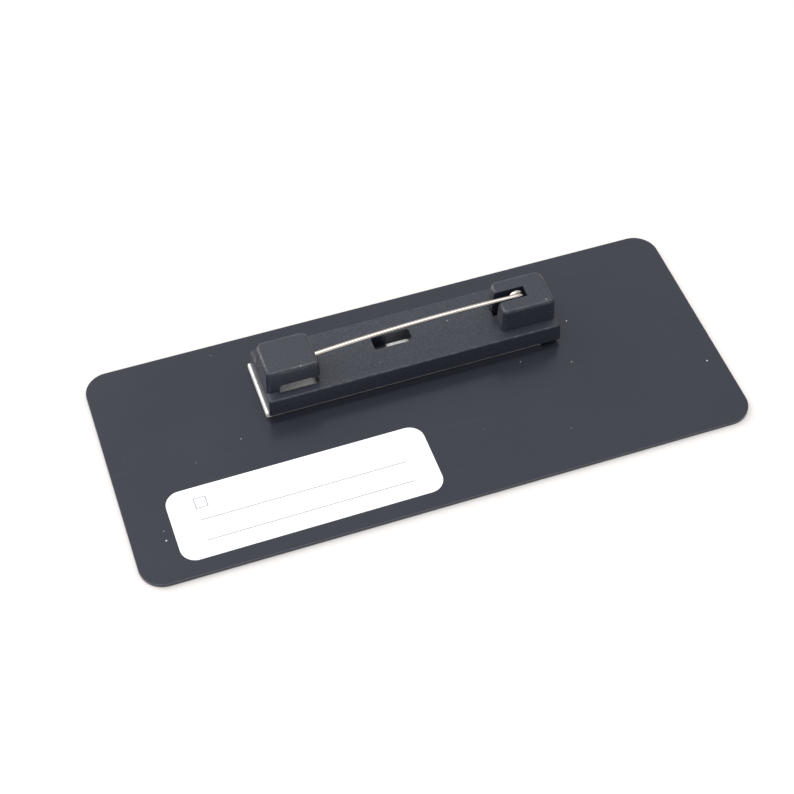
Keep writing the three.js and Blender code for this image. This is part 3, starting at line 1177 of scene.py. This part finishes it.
@dataclass
class PinWire:
    """The steel pin: its point in the catch, the bowed needle, the coil and a short leg."""

    diameter: float = 0.55
    coil_radius: float = 0.8
    coil_pitch: float = 0.58
    needle_shift: float = -0.43
    needle_bow: float = 0.68
    tip_drop: float = 1.06
    tip_clearance: float = 0.5
    taper: float = 2.5
    taper_power: float = 0.8
    point_share: float = 0.15
    leg: float = 2.0
    leg_slope: float = math.radians(30)
    needle_points: int = 60
    coil_points: int = 48
    section_resolution: int = 6
    sharp_angle: float = math.radians(50)

    def build(self, bar: PinBar) -> Piece:
        """Models the wire along its route and dresses it.

        Args:
            bar: The moulded bar that holds the pin.

        Returns:
            The finished piece.
        """
        route = self._route(bar)
        bpy.ops.object.select_all(action="DESELECT")
        bpy.ops.curve.primitive_bezier_curve_add()
        wire = bpy.context.active_object
        wire.name = "needle_and_coil"
        curve = wire.data
        curve.splines.clear()
        spline = curve.splines.new("POLY")
        spline.points.add(len(route) - 1)
        for point, place in zip(spline.points, route):
            point.co = (*(place * MM), 1.0)
            point.radius = self._share_of_radius((place - route[0]).length)
        curve.dimensions = "3D"
        curve.bevel_depth = self.diameter / 2 * MM
        curve.bevel_resolution = self.section_resolution
        curve.use_fill_caps = True
        apply_place(wire)
        bpy.ops.object.convert(target="MESH")
        bpy.ops.object.shade_smooth_by_angle(angle=self.sharp_angle)
        finish_piece(wire, "pin_wire", Body.PIN, BrightSteel().material())
        return wire

    def _share_of_radius(self, distance: float) -> float:
        """Gives the wire's share of its full radius at a distance from its point."""
        share = min(distance / self.taper, 1.0)
        return self.point_share + (1.0 - self.point_share) * share ** self.taper_power

    def _route(self, bar: PinBar) -> list[Vector]:
        """Works out the centre line from the point to the end of the leg.

        Args:
            bar: The moulded bar that holds the pin.

        Returns:
            The points of the route, in millimetres.
        """
        pivot = Vector(frame["joints"][0]["pos_m"]) / MM
        needle_y = pivot.y + self.needle_shift
        tip = Vector((
            bar.catch_inside + self.tip_clearance,
            needle_y,
            bar.z[1] - bar.catch_roof - self.tip_drop,
        ))
        rise = pivot.z + self.coil_radius - tip.z
        slope = (4 * self.needle_bow - rise) / (pivot.x - tip.x)
        start = math.pi / 2 - math.atan(slope)
        end = -2 * math.pi - math.pi / 2 + self.leg_slope
        coil = [
            self._on_coil(pivot, needle_y, start, start + (end - start) * step / self.coil_points)
            for step in range(self.coil_points + 1)
        ]
        crown = (tip + coil[0]) / 2 + Vector((0.0, 0.0, 2 * self.needle_bow))
        needle = [
            tip.lerp(crown, share).lerp(crown.lerp(coil[0], share), share)
            for share in (step / self.needle_points for step in range(self.needle_points))
        ]
        leg_end = coil[-1] - Vector((math.cos(self.leg_slope), 0.0, math.sin(self.leg_slope))) * self.leg
        return [*needle, *coil, leg_end]

    def _on_coil(self, pivot: Vector, needle_y: float, start: float, angle: float) -> Vector:
        """Works out one point of the coil.

        Args:
            pivot: The centre of the coil.
            needle_y: Where the needle leaves the coil along Y.
            start: The angle at which the needle leaves it, in radians.
            angle: The angle of the point, in radians.

        Returns:
            The point, in millimetres.
        """
        turned = (start - angle) / (2 * math.pi)
        return Vector((
            pivot.x + self.coil_radius * math.cos(angle),
            needle_y + self.coil_pitch * turned,
            pivot.z + self.coil_radius * math.sin(angle),
        ))


# Studio


@dataclass(frozen=True)
class PhotoCamera:
    """The camera that took the photograph, as its perspective gives it."""

    place: Triple = (-45.068, -118.827, 163.006)
    azimuth: float = math.radians(-19.693)
    elevation: float = math.radians(51.974)
    roll: float = math.radians(-0.581)
    lens: float = 76.80
    sensor: float = 36.0
    nearest: float = 10.0
    farthest: float = 10000.0

    def build(self) -> None:
        """Adds the camera and makes it the scene's."""
        level = math.cos(self.elevation)
        back = Vector((
            math.sin(self.azimuth) * level,
            -math.cos(self.azimuth) * level,
            math.sin(self.elevation),
        ))
        right = Vector((0.0, 0.0, 1.0)).cross(back).normalized()
        up = back.cross(right)
        turned = Matrix.Rotation(-self.roll, 3, back)
        right = turned @ right
        up = turned @ up
        bpy.ops.object.camera_add(location=Vector(self.place) * MM)
        camera = bpy.context.active_object
        camera.name = "photo_camera"
        axes = Matrix((right, up, back)).transposed()
        camera.matrix_world = Matrix.Translation(Vector(self.place) * MM) @ axes.to_4x4()
        camera.data.sensor_width = self.sensor
        camera.data.lens = self.lens
        camera.data.clip_start = self.nearest * MM
        camera.data.clip_end = self.farthest * MM
        bpy.context.scene.camera = camera


@dataclass(frozen=True)
class SoftLight:
    """One square area light that looks at the badge. Its place and side are in metres."""

    name: str
    place: Triple
    side: float
    power: float
    colour: Colour = (1.0, 1.0, 1.0)

    def build(self) -> None:
        """Adds the light."""
        bpy.ops.object.light_add(type="AREA", location=self.place)
        light = bpy.context.active_object
        light.name = self.name
        light.data.shape = "SQUARE"
        light.data.size = self.side
        light.data.energy = self.power
        light.data.color = self.colour
        light.rotation_euler = (-Vector(self.place)).to_track_quat("-Z", "Y").to_euler()


@dataclass
class Studio:
    """A pale floor under soft light from behind at the left and from above."""

    floor_side: float = 4.0
    floor_drop: float = 0.01
    floor_colour: Colour = (0.645, 0.625, 0.62)
    floor_clouds_per_mm: float = 0.05
    floor_cloud_limits: Span = (0.3, 0.7)
    floor_cloud_tone: float = 0.99
    floor_roughness: float = 0.7
    floor_specular: float = 0.2
    sky_colour: Colour = (1.0, 1.0, 1.0)
    sky_strength: float = 0.80
    lights: tuple[SoftLight, ...] = (
        SoftLight("window", (-0.78, 1.14, 0.82), 1.10, 17.0, (1.0, 0.99, 0.98)),
        SoftLight("ceiling", (-0.30, -0.30, 1.90), 1.6, 12.0),
        SoftLight("lamp", (0.15, -0.08, 1.70), 1.40, 12.0, (1.0, 0.99, 0.97)),
    )

    def build(self) -> None:
        """Builds the floor, the lights and the sky."""
        self._lay_floor()
        for light in self.lights:
            light.build()
        self._light_sky()

    def _lay_floor(self) -> None:
        """Lays the floor a little below the badge's face."""
        bpy.ops.object.select_all(action="DESELECT")
        bpy.ops.mesh.primitive_plane_add(size=self.floor_side, location=(0.0, 0.0, -self.floor_drop * MM))
        floor = bpy.context.active_object
        floor.name = "floor"
        apply_place(floor)
        sheet, material, shader = new_material("pale floor")
        clouds = sheet.noise(sheet.millimetres(), self.floor_clouds_per_mm, detail=3.0)
        share = sheet.stretch(clouds, self.floor_cloud_limits)
        darker = tuple(value * self.floor_cloud_tone for value in self.floor_colour)
        sheet.feed(shader, {
            "Base Color": sheet.blend(share, self.floor_colour, darker),
            "Roughness": self.floor_roughness,
            "Specular IOR Level": self.floor_specular,
        })
        floor.data.materials.append(material)

    def _light_sky(self) -> None:
        """Lights the scene evenly from all round and keeps the picture's tones plain."""
        world = bpy.data.worlds.new("studio sky")
        world.use_nodes = True
        sky = world.node_tree.nodes["Background"]
        sky.inputs["Color"].default_value = (*self.sky_colour, 1.0)
        sky.inputs["Strength"].default_value = self.sky_strength
        scene = bpy.context.scene
        scene.world = world
        scene.view_settings.view_transform = "Standard"


def main() -> None:
    """Builds the camera, the pieces in order and the studio."""
    logging.basicConfig(level=logging.INFO, format="%(name)s: %(message)s")
    PhotoCamera().build()
    effects = Effects()
    Plate().build(effects)
    Sticker().build()
    bar = PinBar()
    bar.build(effects)
    FoamPad().build(bar)
    PinWire().build(bar)
    Studio().build()


if __name__ == "__main__":
    main()
